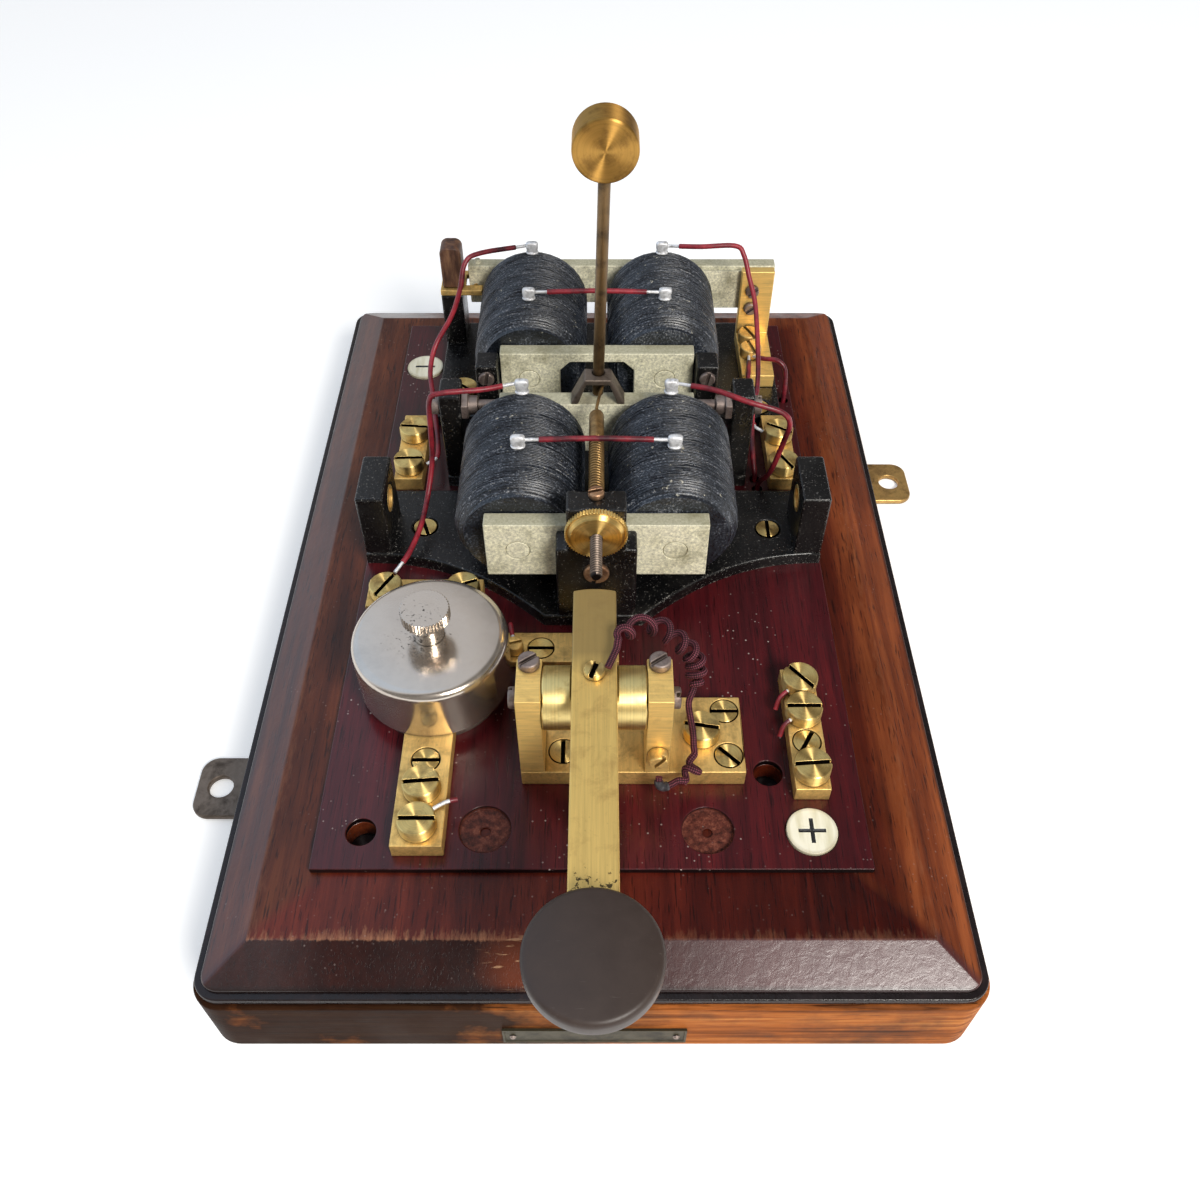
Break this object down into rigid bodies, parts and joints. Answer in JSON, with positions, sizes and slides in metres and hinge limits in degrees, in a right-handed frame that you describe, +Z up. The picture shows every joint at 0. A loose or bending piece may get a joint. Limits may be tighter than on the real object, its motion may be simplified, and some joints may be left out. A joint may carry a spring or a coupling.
{
  "type": "railway block bell",
  "caption": "Railway block bell movement: tapper key, bell magnets with hammer, relay and lightning protector on a bevelled mahogany base.",
  "frame": {"origin": "centre of the plinth's underside", "axes": "+X right, +Y away from the key, +Z up"},
  "size_m": [0.279, 0.364, 0.1871],
  "materials": {
    "mahogany_plinth": "french polish, worn",
    "black_line": "black paint",
    "mahogany_board": "french polish",
    "mahogany_panel": "red french polish",
    "iron": "bare, aged",
    "black_japan": "black japan",
    "brass": "aged, lacquered",
    "steel": "worn",
    "plated_iron": "dull plating",
    "nickel": "nickel plate",
    "ebonite": "ebonite",
    "ivory": "ivorine",
    "winding_cotton": "shellacked",
    "tin": "solder",
    "red_cover": "red cover",
    "maroon_braid": "braided",
    "fibre": "vulcanised fibre"
  },
  "bodies": {
    "base": {"base_plinth": "mahogany_plinth", "base_bead": "black_line", "base_board": "mahogany_board", "movement_panel": "mahogany_panel", "fixing_plate_iron": "iron", "fixing_plate_brass": "brass", "fixing_screws": "steel", "strip_plate": "brass", "strip_pins": "brass", "ivory_discs": "ivory", "line_bar": "brass", "earth_bar": "brass", "battery_bar": "brass", "coil_bars": "brass", "terminal_screws": "brass", "flush_screws": "brass", "small_screws": "brass", "key_plate": "brass", "key_cheeks": "brass", "key_screws": "steel", "key_spring": "steel", "front_contact": "brass", "back_contact": "brass", "back_contact_spring": "steel", "curly_flex": "maroon_braid", "magnet_frame": "black_japan", "frame_bushes": "brass", "front_yoke": "plated_iron", "rear_yoke": "plated_iron", "cores": "iron", "bell_winding_left": "winding_cotton", "bell_winding_right": "winding_cotton", "relay_winding_left": "winding_cotton", "relay_winding_right": "winding_cotton", "solder_tags": "tin", "post_screws": "brass", "bridge_screws": "steel", "trunnions": "steel", "relay_bracket": "brass", "hinge_leaf": "steel", "contact_fork": "brass", "contact_block": "fibre", "leads": "red_cover", "protector_base": "ebonite"},
    "key": {"key_drum": "brass", "key_lever": "brass", "lever_screw": "brass", "key_knob": "ebonite"},
    "hammer": {"bell_armature": "plated_iron", "armature_shaft": "steel", "hammer_stirrup": "iron", "hammer_rod": "steel", "hammer_head": "brass"},
    "relay": {"relay_armature": "plated_iron"},
    "nut": {"knurled_nut": "brass"},
    "adjuster": {"adjusting_screw": "steel", "tension_spring": "steel", "spring_plug": "steel"},
    "cap": {"cap": "nickel"},
    "thumb": {"thumb_nut": "nickel"}
  },
  "joints": [
    {"name": "key_rock", "type": "hinge", "parent": "base", "child": "key", "pos_m": [0.0008, -0.0936, 0.076], "axis": [1, 0, 0], "range_deg": [0, 2.2], "stiffness_Nm_per_rad": 0.5, "springref_deg": -6.88, "deforming": ["key_spring", "back_contact_spring"]},
    {"name": "hammer_swing", "type": "hinge", "parent": "base", "child": "hammer", "pos_m": [0.0012, 0.0392, 0.0775], "axis": [-1, 0, 0], "range_deg": [0, 3.5], "stiffness_Nm_per_rad": 0.4, "springref_deg": -5.73, "deforming": ["tension_spring", "spring_plug"]},
    {"name": "relay_swing", "type": "hinge", "parent": "base", "child": "relay", "pos_m": [0.06, 0.12465, 0.071], "axis": [0, 0, 1], "range_deg": [0, 0.5], "stiffness_Nm_per_rad": 1, "springref_deg": -1.72, "deforming": ["hinge_leaf"]},
    {"name": "tension_turn", "type": "hinge", "parent": "base", "child": "nut", "pos_m": [0.0012, -0.0387, 0.088], "axis": [0, 1, 0], "range_deg": [-725, 725]},
    {"name": "tension_draw", "type": "slide", "parent": "base", "child": "adjuster", "axis": [0, -1, 0], "range_m": [-0.002, 0.002]},
    {"name": "cap_lift", "type": "slide", "parent": "base", "child": "cap", "axis": [0, 0, 1], "range_m": [0, 0.045]},
    {"name": "thumb_turn", "type": "hinge", "parent": "cap", "child": "thumb", "pos_m": [-0.0518, -0.0626, 0.075], "axis": [0, 0, 1], "continuous": true}
  ],
  "couplings": [
    {"joint": "tension_turn", "follows": "tension_draw", "rad_per_m": 6283.2}
  ]
}
